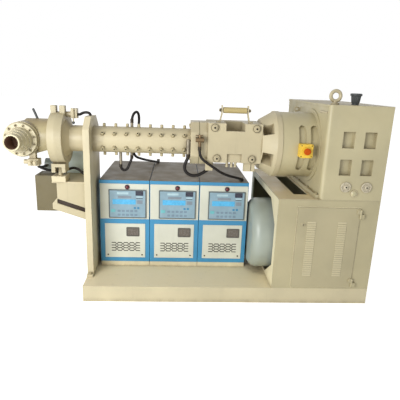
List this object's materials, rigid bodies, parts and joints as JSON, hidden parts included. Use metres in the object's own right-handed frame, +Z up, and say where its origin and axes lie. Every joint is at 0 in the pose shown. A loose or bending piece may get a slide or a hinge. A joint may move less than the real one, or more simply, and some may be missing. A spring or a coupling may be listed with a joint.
{
  "type": "rubber extruder",
  "caption": "Cold-feed pin-barrel rubber extruder with crosshead, guide roller, gearbox on a drive cabinet and a row of temperature units on one base.",
  "frame": {"origin": "middle of the base's underside, on the floor", "axes": "+X along the screw towards the drive, +Y away from the operator, +Z up"},
  "size_m": [2.456, 1.1197, 1.436],
  "materials": {
    "brass": "brass fitting",
    "glass": "oil sight glass",
    "hose": "black hose",
    "keypad": "light blue membrane",
    "lamp_red": "dark red lens",
    "motor_grey": "grey motor paint",
    "paint": "beige machine paint",
    "paint_dark": "shaded beige paint",
    "red": "moulded red",
    "roller": "tan roller sleeve",
    "slate": "dark slate plastic",
    "steel": "machined steel",
    "tcu_blue": "blue sheet paint",
    "tcu_lid": "grey-brown sheet",
    "tcu_white": "white sheet paint",
    "yellow": "moulded yellow"
  },
  "bodies": {
    "frame": {"barrel_pins": "steel", "barrel_rear_flange": "paint", "base_cross_rails": "paint", "base_side_rails": "paint", "bearing_drum": "paint", "bearing_plugs": "steel", "bracket_cheeks": "paint", "bracket_shelf": "paint", "breather": "slate", "cabinet_front_frame": "paint", "cabinet_rear_plate": "paint", "cabinet_side_plates": "paint", "cabinet_top_plate": "paint", "clamp_halves": "paint", "collar_hose": "hose", "deck_plate": "paint", "die_flange": "paint", "die_nozzle": "paint", "door_hinges": "paint", "drop_hose": "hose", "estop_box": "yellow", "feed_front_plate": "paint", "feed_housing": "paint", "front_post": "paint", "gearbox_case": "paint", "head_body": "paint", "head_latch": "paint", "head_sensor": "slate", "hose_fittings": "steel", "lantern_adapter": "paint", "lifting_eye": "paint", "main_motor": "motor_grey", "pack_hose": "hose", "pack_tank": "paint_dark", "pin_barrel": "paint", "pump_motor": "motor_grey", "rear_hose": "hose", "return_hose": "hose", "roller_arms": "paint", "roller_axle": "steel", "sight_glass": "glass", "support_jack": "steel", "tcu_cabinets": "tcu_blue", "tcu_keypads": "keypad", "tcu_lamps": "lamp_red", "tcu_lids": "tcu_lid", "tcu_panels": "tcu_white", "tcu_plinths": "paint", "valve_block": "paint", "valve_body": "brass", "valve_pipe": "hose"},
    "guide_roller": {"guide_roller": "roller"},
    "estop_button": {"estop_button": "red"},
    "access_door": {"access_door": "paint"}
  },
  "joints": [
    {"name": "roller_spin", "type": "hinge", "parent": "frame", "child": "guide_roller", "pos_m": [0, -0.27, 1.274], "axis": [1, 0, 0], "continuous": true},
    {"name": "stop_press", "type": "slide", "parent": "frame", "child": "estop_button", "axis": [0, 1, 0], "range_m": [0, 0.004]},
    {"name": "door_swing", "type": "hinge", "parent": "frame", "child": "access_door", "pos_m": [0.8475, -0.5627, 0], "axis": [0, 0, 1], "range_deg": [0, 110]}
  ]
}
